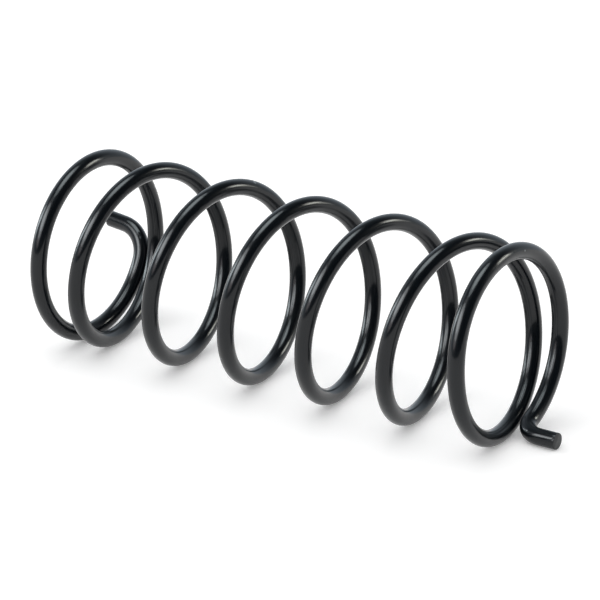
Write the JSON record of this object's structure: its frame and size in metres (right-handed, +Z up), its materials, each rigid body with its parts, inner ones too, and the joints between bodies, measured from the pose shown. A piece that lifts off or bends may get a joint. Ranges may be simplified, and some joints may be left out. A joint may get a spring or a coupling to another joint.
{
  "type": "small compression spring",
  "caption": "Open-wound compression coil spring of round black wire, with closed end turns and both wire ends bent outwards along the axis as short tangs.",
  "frame": {"origin": "on the surface that the spring lies on, beneath the middle of its length and of its coil", "axes": "+X along the coil's axis towards the end whose tang lies low, +Y across it away from the viewer, +Z up"},
  "size_m": [0.0721, 0.0249, 0.0239],
  "materials": {
    "coated_spring_wire": "spring steel under a thin satin to glossy black coating"
  },
  "bodies": {
    "root": {"spring": "coated_spring_wire"}
  },
  "joints": []
}
